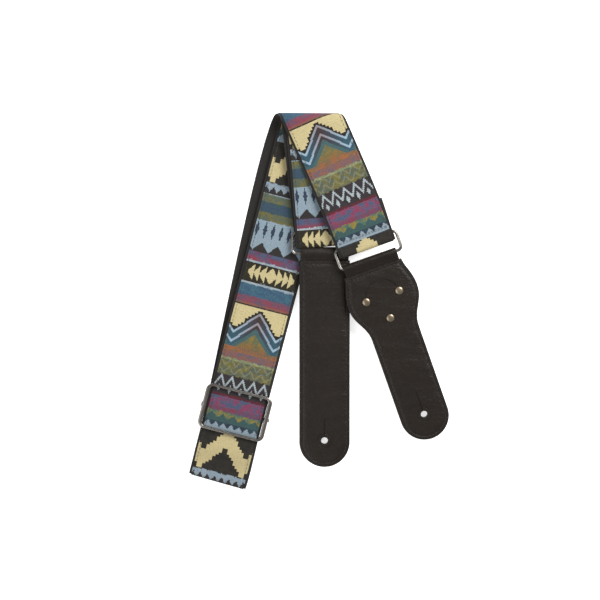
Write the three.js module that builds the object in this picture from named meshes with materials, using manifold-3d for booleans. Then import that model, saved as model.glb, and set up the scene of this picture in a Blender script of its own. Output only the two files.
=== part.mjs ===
// Guitar strap, folded up and lying flat. Millimetres, +Z up.
// One long webbing runs from ring B over the crest, down the back, round the bottom fold, up through
// the slider, over the crest, round ring A, over the crest again and down to the slider's centre bar.
// The origin is at the bottom centre of the whole object's box.
import * as THREE from 'three';
import { mergeVertices } from 'three/addons/utils/BufferGeometryUtils.js';
import Module from 'manifold-3d';

const wasm = await Module();
wasm.setup();

// ---- driving dimensions -------------------------------------------------------------------------
const ORIGIN_SHIFT = [-1.2902, 0.2239, 0];

const WEBBING_WIDTH = 50;
const RIBBON_WIDTH = 46.2;
const BACKING_LOW = -0.8;
const BACKING_HIGH = 0.1;
const RIBBON_LOW = 0.35;
const RIBBON_HIGH = 0.8;
const FLAT_STEP = 26;
const FOLD_STEPS = 8;
const COLUMNS_ACROSS = 6;

const WIRE_RADIUS = 1.4;
const LOOP_RADIUS = 2.55;
const RING_WIDTH = 57.4;
const RING_SPACING = 17;
const RING_CORNER = 3.5;

const TAB_BACK = [-2.5, -1.4];
const TAB_CORE = [-1.15, 1.1];
const TAB_FRONT = [1.35, 2.55];
const TAIL_MIDDLE = 0.625;
const TAIL_THICKNESS = 1;
const TAIL_END = -26;
const CORE_START = -28.5;
const LOOP_BEND = 125;
const LOOP_FLAT_END = -5.6;
const LEATHER_LOOP_RADIUS = 2.8;
const BUTTON_HOLE_RADIUS = 3.3;
const SLIT_WIDTH = 0.9;

const RING_A_BAR = [6, 40.4, 10.05];
const TAB_A_TILT = 2.25;
const TAB_A = { halfWidth: 21.45, front: -6, tip: -181.9, hole: -159.4, slitTop: -139.9 };

const RING_B_BAR = [44.2, 34.4, 17.05];
const TAB_B_TURN = 19.6;
const TAB_B_TILT = 5.1;
const RING_B_OFFSET = 1.5;
const TAB_B = { halfWidth: 20.8, front: -7.2, tip: -161.2, hole: -139.2, slitTop: -118.2 };
const TAB_B_SHOULDER = 31;
const TAB_B_END = 25.5;
const TAB_B_NECK_TOP = -66;
const TAB_B_SHOULDER_AT = -33;
const RIVETS = { left: [-14.75, -32.2], right: [14.75, -32.2], lower: [0, -51.6] };
const RIVET_HOLE = 1.8;
const RIVET_POST = 1.5;
const RIVET_CAP = 3.5;
const PICK_SLOT_RADIUS = 14.9;
const PICK_SLOT_WIDTH = 1.2;
const PICK_SLOT_START = 20;

const SLIDER_CENTRE = [-69.87, -94.4];
const SLIDER_TURN = -14.44;
const SLIDER_BAR_Z = 7.35;
const SLIDER_FRAME_Z = 14.25;
const SLIDER_WIDTH = 57.6;
const SLIDER_LENGTH = 39;
const SLIDER_RAIL = 3;
const SLIDER_END_BAR = 2.5;
const SLIDER_CORNER = 6;
const SLIDER_LUG = 4;
const SLIDER_BAR_LENGTH = 59.7;
const SEWN_TAIL = 35;
const SEWN_FLAP = 20;

const degrees = THREE.MathUtils.degToRad;

// Unit vectors in plan: up-left of +Y, and down-left of -Y, by an angle in degrees.
const upwards = (angle) => new THREE.Vector2(-Math.sin(degrees(angle)), Math.cos(degrees(angle)));
const downwards = (angle) => new THREE.Vector2(-Math.sin(degrees(angle)), -Math.cos(degrees(angle)));

// ---- the webbing's route ------------------------------------------------------------------------
// A fold is half a cylinder: the strand meets its axis at `at`, `out` points away from the strap,
// and the webbing's middle goes from one level (z) to the next.
const FOLDS = {
  ringB: { at: [41.53, 46.37], out: downwards(-19.6), levels: [14.5, 19.6] },
  outerCrest: { at: [-2.3, 151.4], out: upwards(-0.5), levels: [16, 0.8] },
  bottom: { at: [-84.3, -150.45], out: downwards(15.87), levels: [0.8, 7.2] },
  innerCrest: { at: [-6.96, 149.9], out: upwards(-4), levels: [5.2, 11.6] },
  ringA: { at: [6.3, 49.4], out: downwards(-5.4), levels: [7.5, 12.6] },
  middleCrest: { at: [-2.4, 149.9], out: upwards(-3.85), levels: [13.8, 3] },
};

// Runs between the folds, in order. `face` is +1 where the pattern looks up. `heights` are pairs of
// distance along the run (negative counts back from its end) and the height of the webbing's middle.
const RUNS = [
  { start: [30.31, 79.52], heading: downwards(-18.7), fold: 'ringB', face: -1,
    heights: [[0, 17.6], [6, 17.6], [-10, 14.5]] },
  { endHeading: upwards(23.8), fold: 'outerCrest', face: 1, reach: 38,
    heights: [[12, 19.6], [-20, 16]] },
  { endHeading: downwards(17.3), fold: 'bottom', face: -1, reach: 45, heights: [[0, 0.8]] },
  { endHeading: upwards(-14.44), fold: 'innerCrest', face: 1, reach: 60,
    heights: [[8, 7.2], [27, 11.9], [122, 11.9], [162, 5.2]] },
  { endHeading: downwards(-6.8), fold: 'ringA', face: -1, reach: 33,
    heights: [[16, 11.6], [-14, 7.5]] },
  { endHeading: upwards(6.8), fold: 'middleCrest', face: 1, reach: 33,
    heights: [[14, 12.6], [-16, 13.8]] },
  { end: [-69.87, -94.4], endHeading: downwards(14.44), face: -1, reach: 60,
    heights: [[16, 3], [80, 2.8]] },
];

function smoothHeight(knots, length, distance) {
  const places = knots.map(([at, z]) => [at < 0 ? length + at : at, z]);
  if (distance <= places[0][0]) return places[0][1];
  for (let i = 1; i < places.length; i += 1) {
    const [from, low] = places[i - 1];
    const [to, high] = places[i];
    if (distance <= to) return low + (high - low) * THREE.MathUtils.smoothstep(distance, from, to);
  }
  return places[places.length - 1][1];
}

function makeRuns() {
  const runs = [];
  let start = new THREE.Vector2(...RUNS[0].start);
  let heading = RUNS[0].heading;
  let travelled = 0;
  for (const plan of RUNS) {
    const fold = plan.fold ? FOLDS[plan.fold] : null;
    const end = new THREE.Vector2(...(fold ? fold.at : plan.end));
    const endHeading = plan.endHeading ?? heading;
    const reach = plan.reach ?? start.distanceTo(end) / 3;
    const curve = new THREE.CubicBezierCurve(
      start, start.clone().addScaledVector(heading, reach),
      end.clone().addScaledVector(endHeading, -reach), end);
    curve.arcLengthDivisions = 400;
    const run = { ...plan, start, end, heading, endHeading, curve, length: curve.getLength(), fold };
    run.from = travelled;
    if (fold) {
      const [before, after] = fold.levels;
      run.radius = Math.abs(before - after) / 2;
      run.axisZ = (before + after) / 2;
      run.over = before > after ? 1 : -1;
      run.wrap = Math.PI * run.radius / endHeading.dot(fold.out);
      start = end.clone().addScaledVector(endHeading, run.wrap);
      start.addScaledVector(fold.out, -Math.PI * run.radius);
      heading = endHeading.clone().addScaledVector(fold.out, -2 * endHeading.dot(fold.out));
      travelled += run.length + run.wrap;
    }
    runs.push(run);
  }
  return runs;
}

// Carries a point of a flat run round the fold that it has passed, if it has passed one.
function wrapRound(point, height, out, at, radius, axisZ, over) {
  const past = point.clone().sub(at).dot(out);
  if (past <= 0) return new THREE.Vector3(point.x, point.y, height);
  if (past >= Math.PI * radius) {
    point.addScaledVector(out, Math.PI * radius - 2 * past);
    return new THREE.Vector3(point.x, point.y, axisZ - over * radius);
  }
  point.addScaledVector(out, radius * Math.sin(past / radius) - past);
  return new THREE.Vector3(point.x, point.y, axisZ + over * radius * Math.cos(past / radius));
}

// The middle of the webbing at a distance along it and a distance across it.
function webbingPoint(runs, along, across) {
  const next = runs.findIndex((each) => each.from + each.length + (each.wrap ?? 0) / 2 >= along);
  const index = next < 0 ? runs.length - 1 : next;
  const run = runs[index];
  const distance = along - run.from;
  let centre;
  let heading;
  if (distance < 0) {
    heading = run.heading;
    centre = run.start.clone().addScaledVector(heading, distance);
  } else if (distance > run.length) {
    heading = run.endHeading;
    centre = run.end.clone().addScaledVector(heading, distance - run.length);
  } else {
    const place = run.curve.getUtoTmapping(distance / run.length);
    heading = run.curve.getTangent(place);
    centre = run.curve.getPoint(place);
  }
  const side = new THREE.Vector2(heading.y, -heading.x).multiplyScalar(run.face);
  const flat = centre.addScaledVector(side, across);
  const height = smoothHeight(run.heights, run.length, distance);
  const before = runs[index - 1];
  if (before && flat.clone().sub(before.end).dot(before.fold.out) > 0) {
    const { fold, end, radius, axisZ, over } = before;
    return wrapRound(flat, height, fold.out, end, radius, axisZ, -over);
  }
  if (!run.fold) return new THREE.Vector3(flat.x, flat.y, height);
  return wrapRound(flat, height, run.fold.out, run.end, run.radius, run.axisZ, run.over);
}

// Where the mesh has its rows: close together round the folds, further apart on the flat runs.
function webbingRows(runs) {
  const rows = [];
  for (const run of runs) {
    const previous = runs[runs.indexOf(run) - 1];
    const slantBefore = previous ? WEBBING_WIDTH / 2 * slantOf(previous) : 0;
    const slantAfter = run.fold ? WEBBING_WIDTH / 2 * slantOf(run) : 0;
    const first = run.from + slantBefore;
    const last = run.from + run.length - slantAfter;
    const steps = Math.max(2, Math.round((last - first) / FLAT_STEP));
    for (let i = 0; i <= steps; i += 1) rows.push(first + (last - first) * i / steps);
    if (!run.fold) continue;
    const spread = run.wrap + 2 * slantAfter;
    const foldSteps = FOLD_STEPS + Math.round(2 * slantAfter / 4);
    for (let i = 1; i < foldSteps; i += 1) rows.push(last + spread * i / foldSteps);
  }
  return rows;
}

function slantOf(run) {
  const cosine = run.endHeading.dot(run.fold.out);
  return Math.sqrt(Math.max(0, 1 - cosine * cosine)) / cosine;
}

// A closed ribbon: `surface(along, across)` gives its middle, and low and high its two faces.
function ribbon(rows, width, low, high, surface) {
  const geometry = new THREE.BoxGeometry(1, rows.length - 1, 1, COLUMNS_ACROSS, rows.length - 1, 1);
  const position = geometry.attributes.position;
  const nudge = 0.05;
  for (let i = 0; i < position.count; i += 1) {
    const across = position.getX(i) * width;
    const along = rows[Math.round(position.getY(i) + (rows.length - 1) / 2)];
    const lift = position.getZ(i) > 0 ? high : low;
    const tangent = surface(along + nudge, across).sub(surface(along - nudge, across));
    const side = surface(along, across + nudge).sub(surface(along, across - nudge));
    const normal = side.cross(tangent).normalize();
    const point = surface(along, across).addScaledVector(normal, lift);
    position.setXYZ(i, point.x, point.y, point.z);
  }
  return geometry;
}

// ---- shared builders ----------------------------------------------------------------------------
const group = new THREE.Group();
const placed = new THREE.Group();
placed.position.set(...ORIGIN_SHIFT);
group.add(placed);

const finish = (color, roughness, metalness) => ({ color, roughness, metalness });
const FINISHES = {
  webbing: finish(0x2a2828, 0.95, 0),
  jacquard: finish(0x7f8f8a, 0.9, 0),
  leather: finish(0x2e2a26, 0.6, 0),
  core: finish(0x555048, 0.9, 0),
  steel: finish(0x55565a, 0.35, 1),
  rivet: finish(0x8c8373, 0.4, 1),
};

function add(parent, name, geometry, finishName) {
  const mesh = new THREE.Mesh(geometry, new THREE.MeshStandardMaterial(FINISHES[finishName]));
  mesh.name = name;
  parent.add(mesh);
  return mesh;
}

function toSolid(geometry) {
  const bare = geometry.clone();
  bare.deleteAttribute('normal');
  bare.deleteAttribute('uv');
  const merged = mergeVertices(bare, 1e-4);
  return new wasm.Manifold(new wasm.Mesh({
    numProp: 3,
    vertProperties: new Float32Array(merged.attributes.position.array),
    triVerts: new Uint32Array(merged.index.array),
  }));
}

function toGeometry(solid) {
  const mesh = solid.getMesh();
  const geometry = new THREE.BufferGeometry();
  geometry.setAttribute('position', new THREE.BufferAttribute(new Float32Array(mesh.vertProperties), 3));
  geometry.setIndex(new THREE.BufferAttribute(new Uint32Array(mesh.triVerts), 1));
  geometry.computeVertexNormals();
  return geometry;
}

// A plate of the given outline between two heights.
function plate(shape, [low, high], curveSegments = 8) {
  const geometry = new THREE.ExtrudeGeometry(shape, {
    depth: high - low, bevelEnabled: false, curveSegments,
  });
  return geometry.translate(0, 0, low);
}

// An outline drawn in (y, z) and drawn out along x, centred on x = 0.
function alongX(shape, width) {
  const geometry = new THREE.ExtrudeGeometry(shape, { depth: width, bevelEnabled: false });
  geometry.translate(0, 0, -width / 2);
  const turn = new THREE.Matrix4().makeBasis(
    new THREE.Vector3(0, 1, 0), new THREE.Vector3(0, 0, 1), new THREE.Vector3(1, 0, 0));
  return geometry.applyMatrix4(turn);
}

// The closed outline of a bent strip of even thickness along a line of points.
function stripOutline(points, thickness) {
  const sides = [[], []];
  points.forEach((point, i) => {
    const before = points[Math.max(0, i - 1)];
    const after = points[Math.min(points.length - 1, i + 1)];
    const along = after.clone().sub(before).normalize();
    const normal = new THREE.Vector2(-along.y, along.x);
    sides[0].push(point.clone().addScaledVector(normal, thickness / 2));
    sides[1].push(point.clone().addScaledVector(normal, -thickness / 2));
  });
  return new THREE.Shape([...sides[1], ...sides[0].reverse()]);
}

// ---- rings --------------------------------------------------------------------------------------
// A rounded rectangle of bent wire in the XY plane. Its lower bar lies on the X axis.
function wireRing() {
  const cornerSteps = 4;
  const wireSides = 10;
  const halfX = RING_WIDTH / 2 - WIRE_RADIUS;
  const halfY = RING_SPACING / 2;
  const stations = [];
  for (let corner = 0; corner < 4; corner += 1) {
    const signX = corner === 0 || corner === 3 ? 1 : -1;
    const signY = corner < 2 ? 1 : -1;
    for (let step = 0; step <= cornerSteps; step += 1) {
      const angle = (corner + step / cornerSteps) * Math.PI / 2;
      stations.push({
        x: signX * (halfX - RING_CORNER) + RING_CORNER * Math.cos(angle),
        y: signY * (halfY - RING_CORNER) + RING_CORNER * Math.sin(angle),
        angle,
      });
    }
  }
  const geometry = new THREE.TorusGeometry(10, 1, wireSides, stations.length);
  const position = geometry.attributes.position;
  for (let i = 0; i < position.count; i += 1) {
    const station = stations[i % (stations.length + 1) % stations.length];
    const around = Math.floor(i / (stations.length + 1)) / wireSides * Math.PI * 2;
    const outward = WIRE_RADIUS * Math.cos(around);
    position.setXYZ(i,
      station.x + outward * Math.cos(station.angle),
      station.y + outward * Math.sin(station.angle) + halfY,
      WIRE_RADIUS * Math.sin(around));
  }
  return geometry;
}

// ---- leather tabs -------------------------------------------------------------------------------
// In a tab's own frame the ring's bar lies on the X axis, and the tab runs down -Y to its tip.
function plainTabShape(size, inset, top) {
  const half = size.halfWidth - inset;
  const tip = size.tip + inset;
  const shape = new THREE.Shape();
  shape.moveTo(-half, top);
  shape.lineTo(-half, tip + half);
  shape.absarc(0, tip + half, half, Math.PI, Math.PI * 2, false);
  shape.lineTo(half, top);
  shape.closePath();
  return shape;
}

function shoulderTabShape(size, inset, top) {
  const neck = size.halfWidth - inset;
  const tip = size.tip + inset;
  const shoulder = TAB_B_SHOULDER - inset;
  const end = TAB_B_END - inset;
  const neckTop = TAB_B_NECK_TOP;
  const shoulderAt = TAB_B_SHOULDER_AT;
  const shape = new THREE.Shape();
  shape.moveTo(-end, top);
  shape.bezierCurveTo(-end - 0.5, top - 8, -shoulder, shoulderAt + 12, -shoulder, shoulderAt);
  shape.bezierCurveTo(-shoulder, shoulderAt - 14, -neck, neckTop + 14, -neck, neckTop);
  shape.lineTo(-neck, tip + neck);
  shape.absarc(0, tip + neck, neck, Math.PI, Math.PI * 2, false);
  shape.lineTo(neck, neckTop);
  shape.bezierCurveTo(neck, neckTop + 14, shoulder, shoulderAt - 14, shoulder, shoulderAt);
  shape.bezierCurveTo(shoulder, shoulderAt + 12, end + 0.5, top - 8, end, top);
  shape.closePath();
  return shape;
}

// The button hole with the slit above it, as one hole.
function buttonHole(size, slack) {
  const radius = BUTTON_HOLE_RADIUS + slack;
  const half = SLIT_WIDTH / 2 + slack;
  const meet = Math.asin(half / radius);
  const hole = new THREE.Path();
  hole.moveTo(half, size.slitTop + slack);
  hole.lineTo(-half, size.slitTop + slack);
  hole.absarc(0, size.hole, radius, Math.PI / 2 + meet, Math.PI * 2.5 - meet, false);
  hole.closePath();
  return hole;
}

function roundHole([x, y], radius) {
  const hole = new THREE.Path();
  hole.absarc(x, y, radius, 0, Math.PI * 2, false);
  return hole;
}

// The half-moon mouth of the pick pocket, open between the two upper rivets.
function pickSlot() {
  const start = degrees(PICK_SLOT_START);
  const outer = PICK_SLOT_RADIUS + PICK_SLOT_WIDTH / 2;
  const inner = PICK_SLOT_RADIUS - PICK_SLOT_WIDTH / 2;
  const y = RIVETS.left[1];
  const slot = new THREE.Path();
  slot.absarc(0, y, outer, start, Math.PI - start, false);
  slot.absarc(0, y, inner, Math.PI - start, start, true);
  slot.closePath();
  return slot;
}

function ringLoop(width) {
  const bend = degrees(LOOP_BEND);
  const bendSteps = 12;
  const points = [new THREE.Vector2(TAIL_END, -TAIL_MIDDLE), new THREE.Vector2(LOOP_FLAT_END, -TAIL_MIDDLE)];
  for (let i = 0; i <= bendSteps; i += 1) {
    const angle = -bend + 2 * bend * i / bendSteps;
    points.push(new THREE.Vector2(Math.cos(angle), Math.sin(angle)).multiplyScalar(LEATHER_LOOP_RADIUS));
  }
  points.push(new THREE.Vector2(LOOP_FLAT_END, TAIL_MIDDLE), new THREE.Vector2(TAIL_END, TAIL_MIDDLE));
  return alongX(stripOutline(points, TAIL_THICKNESS), width);
}

function addTab(parent, letter, size, outline, loopWidth, extraHoles) {
  const front = outline(size, 0, size.front);
  front.holes = [buttonHole(size, 0), ...extraHoles.map((spot) => roundHole(spot, RIVET_HOLE))];
  const back = outline(size, 0, size.front);
  back.holes = [...front.holes];
  const core = outline(size, 2, CORE_START);
  core.holes = [buttonHole(size, 0.4), ...extraHoles.map((spot) => roundHole(spot, RIVET_HOLE))];
  if (letter === 'b') front.holes.push(pickSlot());
  add(parent, `tab_${letter}_front_leather`, plate(front, TAB_FRONT), 'leather');
  add(parent, `tab_${letter}_back_leather`, plate(back, TAB_BACK), 'leather');
  add(parent, `tab_${letter}_core`, plate(core, TAB_CORE), 'core');
  add(parent, `tab_${letter}_ring_loop`, ringLoop(loopWidth), 'leather');
}

// ---- rivets -------------------------------------------------------------------------------------
function domedDisc(radius, height) {
  const profile = [new THREE.Vector2(0, 0), new THREE.Vector2(radius, 0)];
  const domeSteps = 4;
  for (let i = 1; i <= domeSteps; i += 1) {
    const angle = i / domeSteps * Math.PI / 2;
    const rise = 0.3 + (height - 0.3) * Math.sin(angle);
    profile.push(new THREE.Vector2(i === domeSteps ? 0 : radius * Math.cos(angle), rise));
  }
  return new THREE.LatheGeometry(profile, 16).rotateX(Math.PI / 2);
}

function addRivets(parent) {
  const gap = 0.3;
  for (const [place, [x, y]] of Object.entries(RIVETS)) {
    const cap = add(parent, `rivet_cap_${place}`, domedDisc(RIVET_CAP, 1.9), 'rivet');
    cap.position.set(x, y, TAB_FRONT[1] + gap);
    const foot = add(parent, `rivet_foot_${place}`, domedDisc(RIVET_CAP - 0.5, 1), 'rivet');
    foot.rotation.set(Math.PI, 0, 0);
    foot.position.set(x, y, TAB_BACK[0] - gap);
    const length = TAB_FRONT[1] - TAB_BACK[0];
    const post = new THREE.CylinderGeometry(RIVET_POST, RIVET_POST, length, 12).rotateX(Math.PI / 2);
    add(parent, `rivet_post_${place}`, post, 'rivet')
      .position.set(x, y, (TAB_FRONT[1] + TAB_BACK[0]) / 2);
  }
}

// ---- slider -------------------------------------------------------------------------------------
// In the slider's own frame X is across the webbing, Y is up the strap and z = 0 is the strap's rest.
function sliderFrame() {
  const outline = new THREE.Shape();
  const halfX = SLIDER_WIDTH / 2;
  const halfY = SLIDER_LENGTH / 2;
  roundedRectangle(outline, halfX, halfY, SLIDER_CORNER);
  const window = new THREE.Path();
  roundedRectangle(window, halfX - SLIDER_RAIL, halfY - SLIDER_END_BAR, SLIDER_CORNER - SLIDER_END_BAR);
  outline.holes = [window];
  const height = SLIDER_END_BAR / 2;
  let solid = toSolid(plate(outline, [SLIDER_FRAME_Z - height, SLIDER_FRAME_Z + height], 5));
  const lug = new THREE.Shape();
  lug.moveTo(-SLIDER_LUG - 3, SLIDER_FRAME_Z + height);
  lug.lineTo(-SLIDER_LUG, SLIDER_BAR_Z);
  lug.absarc(0, SLIDER_BAR_Z, SLIDER_LUG, Math.PI, Math.PI * 2, false);
  lug.lineTo(SLIDER_LUG + 3, SLIDER_FRAME_Z + height);
  lug.closePath();
  lug.holes = [roundHole([0, SLIDER_BAR_Z], WIRE_RADIUS + 0.4)];
  for (const side of [-1, 1]) {
    const lugPlate = alongX(lug, SLIDER_RAIL).translate(side * (halfX - SLIDER_RAIL / 2), 0, 0);
    solid = solid.add(toSolid(lugPlate));
  }
  return toGeometry(solid);
}

function roundedRectangle(path, halfX, halfY, radius) {
  const x = halfX - radius;
  const y = halfY - radius;
  path.moveTo(halfX, -y);
  path.absarc(x, y, radius, 0, Math.PI / 2, false);
  path.absarc(-x, y, radius, Math.PI / 2, Math.PI, false);
  path.absarc(-x, -y, radius, Math.PI, Math.PI * 1.5, false);
  path.absarc(x, -y, radius, Math.PI * 1.5, Math.PI * 2, false);
  path.closePath();
}

function centreBar() {
  const half = SLIDER_BAR_LENGTH / 2;
  const headStart = SLIDER_WIDTH / 2 + 0.3;
  const headRadius = 2.1;
  const profile = [
    [0, -half], [headRadius - 0.6, -half], [headRadius, -half + 0.35], [headRadius, -headStart],
    [WIRE_RADIUS, -headStart], [WIRE_RADIUS, headStart],
    [headRadius, headStart], [headRadius, half - 0.35], [headRadius - 0.6, half], [0, half],
  ];
  const points = profile.map(([radius, at]) => new THREE.Vector2(radius, at));
  return new THREE.LatheGeometry(points, 14).rotateZ(-Math.PI / 2);
}

// The webbing's end, sewn round the slider's bar: it runs under the bar and comes back over it.
function sewnEnd() {
  const low = -LOOP_RADIUS;
  const bendSteps = 12;
  const points = [new THREE.Vector2(SEWN_TAIL, low), new THREE.Vector2(SEWN_TAIL / 2, low)];
  for (let i = 0; i <= bendSteps; i += 1) {
    const angle = -Math.PI / 2 - Math.PI * i / bendSteps;
    points.push(new THREE.Vector2(Math.cos(angle), Math.sin(angle)).multiplyScalar(LOOP_RADIUS));
  }
  points.push(new THREE.Vector2(4, LOOP_RADIUS - 0.6), new THREE.Vector2(10, low + 2.3));
  points.push(new THREE.Vector2(SEWN_FLAP, low + 1.9));
  return alongX(stripOutline(points, RIBBON_HIGH - BACKING_LOW), WEBBING_WIDTH);
}

// ---- the assembly -------------------------------------------------------------------------------
const runs = makeRuns();
const rows = webbingRows(runs);
const surface = (along, across) => webbingPoint(runs, along, across);
const backing = ribbon(rows, WEBBING_WIDTH, BACKING_LOW, BACKING_HIGH, surface);
const jacquard = ribbon(rows, RIBBON_WIDTH, RIBBON_LOW, RIBBON_HIGH, surface);
add(placed, 'backing_webbing', backing, 'webbing');
add(placed, 'jacquard_ribbon', jacquard, 'jacquard');

const slider = new THREE.Group();
slider.position.set(SLIDER_CENTRE[0], SLIDER_CENTRE[1], 0);
slider.rotation.z = degrees(SLIDER_TURN);
placed.add(slider);
add(slider, 'slider_frame', sliderFrame(), 'steel');
add(slider, 'slider_center_bar', centreBar(), 'steel').position.z = SLIDER_BAR_Z;
add(slider, 'webbing_sewn_end', sewnEnd(), 'webbing').position.z = SLIDER_BAR_Z;

const ringA = new THREE.Group();
ringA.position.set(...RING_A_BAR);
placed.add(ringA);
add(ringA, 'ring_a', wireRing(), 'steel');
const tabA = new THREE.Group();
tabA.rotation.x = degrees(TAB_A_TILT);
ringA.add(tabA);
addTab(tabA, 'a', TAB_A, plainTabShape, 40.9, []);

const ringB = new THREE.Group();
ringB.position.set(...RING_B_BAR);
ringB.rotation.z = degrees(TAB_B_TURN);
placed.add(ringB);
add(ringB, 'ring_b', wireRing(), 'steel').position.x = RING_B_OFFSET;
const tabB = new THREE.Group();
tabB.rotation.x = degrees(TAB_B_TILT);
ringB.add(tabB);
addTab(tabB, 'b', TAB_B, shoulderTabShape, 47.5, Object.values(RIVETS));
addRivets(tabB);

export default group;
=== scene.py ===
import math

import bpy
import numpy as np
from mathutils import Matrix, Vector


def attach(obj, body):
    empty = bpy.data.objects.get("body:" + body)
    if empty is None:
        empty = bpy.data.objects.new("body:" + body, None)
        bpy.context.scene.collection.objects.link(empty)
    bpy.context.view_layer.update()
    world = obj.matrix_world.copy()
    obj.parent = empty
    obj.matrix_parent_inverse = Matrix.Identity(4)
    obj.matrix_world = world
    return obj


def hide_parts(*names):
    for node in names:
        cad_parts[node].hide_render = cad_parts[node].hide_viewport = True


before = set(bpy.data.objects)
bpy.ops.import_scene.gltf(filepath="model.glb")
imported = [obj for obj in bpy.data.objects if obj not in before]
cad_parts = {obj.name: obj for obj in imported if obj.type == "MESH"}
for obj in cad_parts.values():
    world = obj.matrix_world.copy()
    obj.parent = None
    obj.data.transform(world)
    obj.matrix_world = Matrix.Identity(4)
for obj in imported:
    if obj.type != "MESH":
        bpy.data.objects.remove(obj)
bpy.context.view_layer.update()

MM = 0.001

# ---- sizes, in millimetres, in the frame that the strap's route was drawn in ----------------------
ORIGIN_SHIFT = np.array([-1.2902, 0.2239, 0.0])
WEBBING_WIDTH = 50.0
RIBBON_WIDTH = 46.2
BACKING_FACES = (-0.8, 0.1)
RIBBON_FACES = (0.1, 0.8)
STITCH_LINE = 21.2
STITCH_PITCH = 3.3
STITCH_LENGTH = 2.5
THREAD = 0.5
CROSS_STITCHES_AT = 9.0
WIRE_RADIUS = 1.4
LOOP_RADIUS = 2.55
RING_WIDTH = 57.4
RING_SPACING = 17.0
RING_CORNER = 3.5

TAB_BACK = (-2.5, -1.4)
TAB_FRONT = (1.35, 2.55)
TAIL_MIDDLE = 0.625
TAIL_END = -26.0
LEATHER_LOOP_RADIUS = 2.8
BUTTON_HOLE_RADIUS = 2.9
SLIT_WIDTH = 0.4

RING_A_BAR = (6.0, 40.4, 10.05)
TAB_A_TILT = 2.25
TAB_A = {"half": 21.45, "front": -6.0, "tip": -181.9, "hole": -159.4, "slit_top": -139.9}
RING_B_BAR = (44.2, 34.4, 17.05)
TAB_B_TURN = 19.6
TAB_B_TILT = 5.1
RING_B_OFFSET = 1.5
TAB_B = {"half": 20.8, "front": -7.2, "tip": -161.2, "hole": -139.2, "slit_top": -118.2}
TAB_B_SHOULDER = 31.0
TAB_B_END = 25.5
RIVETS = {"left": (-14.75, -32.2), "right": (14.75, -32.2), "lower": (0.0, -51.6)}
PICK_SLOT_RADIUS = 14.9
FRONT_SEAM = 2.95
BACK_SEAM = 2.8

SLIDER_CENTRE = (-69.87, -94.4)
SLIDER_TURN = -14.44
SLIDER_BAR_Z = 7.35
SLIDER_FRAME_Z = 14.25
SLIDER_WIDTH = 57.6
SLIDER_LENGTH = 39.0
SLIDER_RAIL = 3.6
SLIDER_END_BAR = 2.5
SLIDER_CORNER = 6.0
SLIDER_LUG = 4.0
SLIDER_BAR_LENGTH = 59.7
SEWN_TAIL = 35.0
SEWN_FLAP = 20.0

PATTERN_REPEAT = 250.0

# ---- how the pieces are finished ------------------------------------------------------------------
RIPPLE = 0.08  # how far the webbing's edges wave, in millimetres
STRIP_COLUMNS = 14
FLAT_STEP = 4.0
FOLD_STEP = 1.3
SHARP = math.radians(50)  # edges sharper than this are rounded
LOOP_POCKET = (-5.0, TAIL_END - 1.5)
POCKET_HALF = 1.25
RIVET_HOLE = 1.7
RIVET_GAP = 0.02
TAB_B_NECK_TOP = -66.0
TAB_B_SHOULDER_AT = -33.0

# ---- the view, in metres --------------------------------------------------------------------------
VIEW_CENTRE = (-0.01617, 0.00107, 0.008)
VIEW_WIDTH = 0.51
LENS = 100.0
SENSOR = 36.0


# ---- camera, light and floor ----------------------------------------------------------------------
def make_camera():
    """A camera that looks straight down from where the view is as wide as it should be."""
    data = bpy.data.cameras.new("camera")
    data.lens = LENS
    data.sensor_width = SENSOR
    camera = bpy.data.objects.new("camera", data)
    camera.location = Vector(VIEW_CENTRE) + Vector((0, 0, VIEW_WIDTH * LENS / SENSOR))
    bpy.context.scene.collection.objects.link(camera)
    bpy.context.scene.camera = camera


def add_area(name, place, target, size, power):
    data = bpy.data.lights.new(name, "AREA")
    data.size = size
    data.energy = power
    light = bpy.data.objects.new(name, data)
    light.location = place
    light.rotation_euler = (Vector(target) - Vector(place)).to_track_quat("-Z", "Y").to_euler()
    bpy.context.scene.collection.objects.link(light)


def make_stage():
    bpy.context.scene.view_settings.view_transform = "Standard"
    world = bpy.data.worlds.new("studio")
    bpy.context.scene.world = world
    world.use_nodes = True
    background = world.node_tree.nodes["Background"]
    background.inputs["Color"].default_value = (1.0, 1.0, 1.0, 1.0)
    background.inputs["Strength"].default_value = 0.55
    add_area("key_light", (0.62, 0.62, 0.85), (0.02, 0.02, 0), 0.7, 19.0)
    add_area("fill_light", (-0.9, -0.5, 1.0), (0, 0, 0), 1.2, 11.0)
    deselect()
    bpy.ops.mesh.primitive_plane_add(size=6.0, location=(0, 0, -0.0004))
    floor = bpy.context.object
    floor.name = "floor"
    paint = Paint("floor_paint")
    paint.surface(color=(0.93, 0.93, 0.93, 1.0), roughness=0.95)
    paint.shader.inputs["Emission Color"].default_value = (1.0, 1.0, 1.0, 1.0)
    paint.shader.inputs["Emission Strength"].default_value = 0.65
    floor.data.materials.append(paint.material)


# ---- materials ------------------------------------------------------------------------------------
def srgb(red, green, blue):
    """A colour given by its 0 to 255 screen values."""
    linear = [(v / 255 / 12.92) if v < 11 else ((v / 255 + 0.055) / 1.055) ** 2.4 for v in (red, green, blue)]
    return (*linear, 1.0)


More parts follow.
